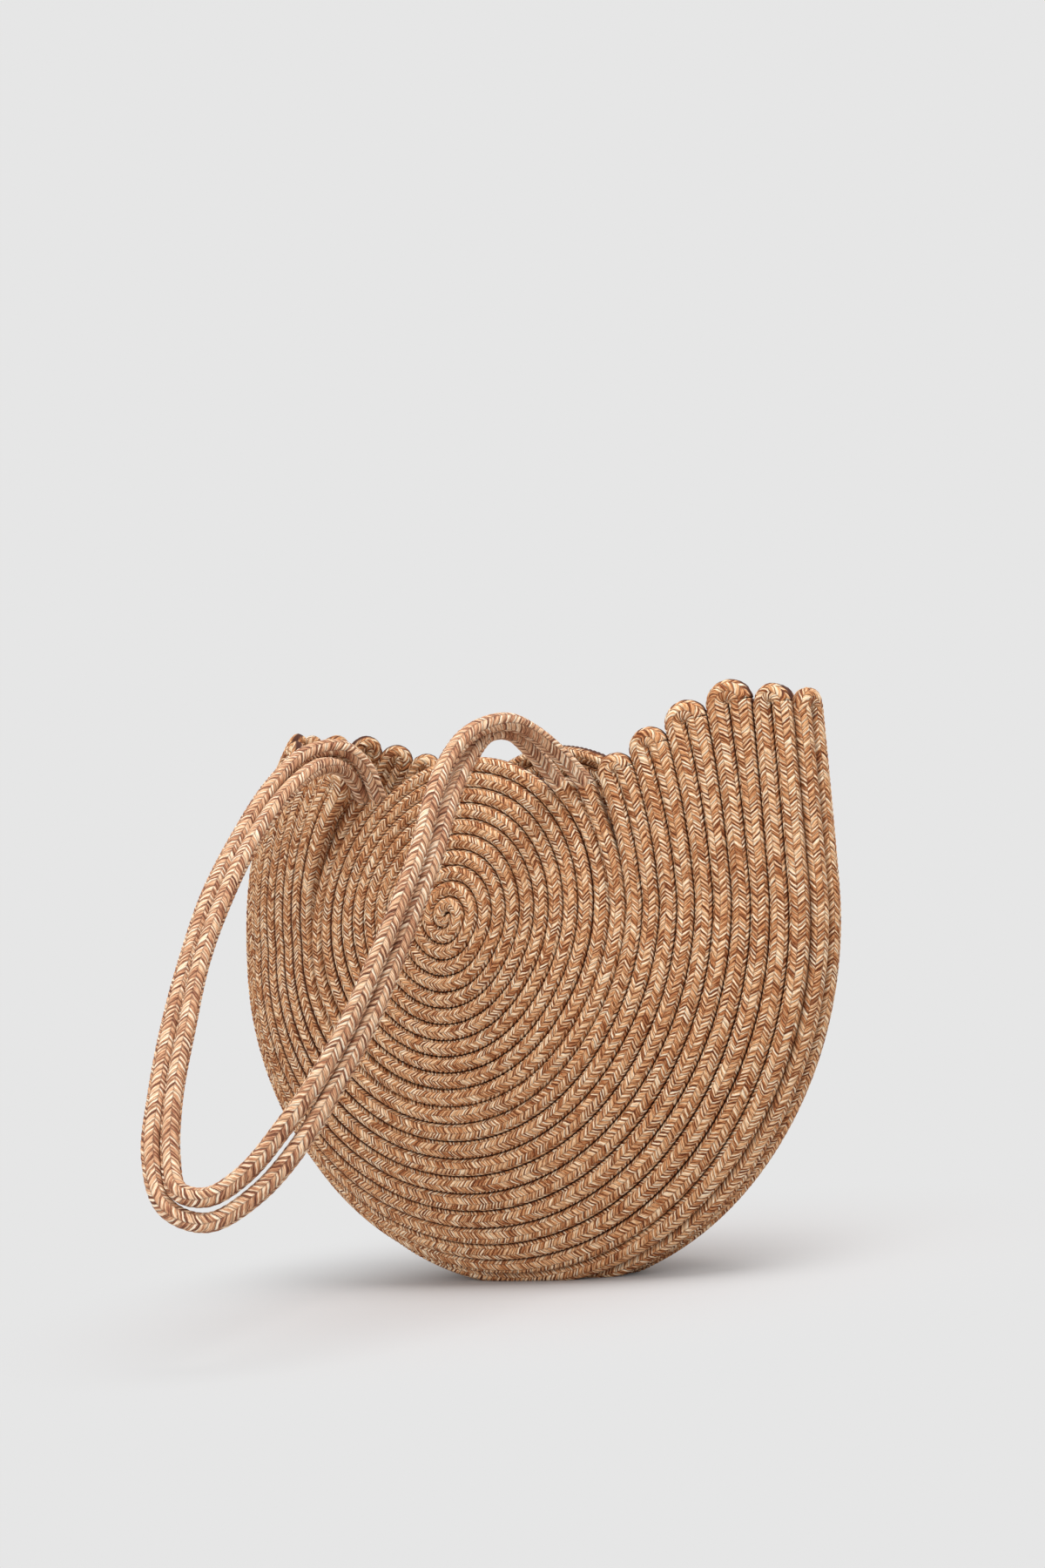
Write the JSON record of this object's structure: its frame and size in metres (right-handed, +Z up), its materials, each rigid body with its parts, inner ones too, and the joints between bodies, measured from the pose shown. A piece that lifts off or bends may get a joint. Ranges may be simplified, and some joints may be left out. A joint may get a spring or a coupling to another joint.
{
  "type": "shoulder bag",
  "caption": "Open-topped shoulder bag sewn from thick braided straw cord, coiled in a disc on each panel, with a twin-cord shoulder strap.",
  "frame": {"origin": "on the floor, on the flat of the lowest front row, below the middle of the discs", "axes": "+X along the bag's width, to the right seen from the front; +Y from the front panel to the back panel; +Z up"},
  "size_m": [0.4181, 0.349, 0.3317],
  "materials": {
    "bag_straw": "braided straw, matt",
    "strap_straw": "braided straw, matt"
  },
  "bodies": {
    "bag": {"front_disc_coil": "bag_straw", "front_row_11": "bag_straw", "front_row_12": "bag_straw", "front_row_13": "bag_straw", "front_row_14": "bag_straw", "front_row_15": "bag_straw", "front_row_16": "bag_straw", "front_row_17": "bag_straw", "front_row_18": "bag_straw", "front_row_19": "bag_straw", "front_row_20": "bag_straw", "front_row_21": "bag_straw", "front_row_22": "bag_straw", "front_row_23": "bag_straw", "back_row_23": "bag_straw", "back_row_22": "bag_straw", "back_row_21": "bag_straw", "back_row_20": "bag_straw", "back_row_19": "bag_straw", "back_row_18": "bag_straw", "back_row_17": "bag_straw", "back_row_16": "bag_straw", "back_row_15": "bag_straw", "back_row_14": "bag_straw", "back_row_13": "bag_straw", "back_row_12": "bag_straw", "back_row_11": "bag_straw", "back_disc_coil": "bag_straw"},
    "strap": {"strap_cord_inner": "strap_straw", "strap_cord_outer": "strap_straw"}
  },
  "joints": [
    {"name": "strap_swing", "type": "hinge", "parent": "bag", "child": "strap", "pos_m": [0.00725, -0.0104, 0.27525], "axis": [-0.9906, -0.1092, 0.0828], "range_deg": [0, 90]}
  ]
}
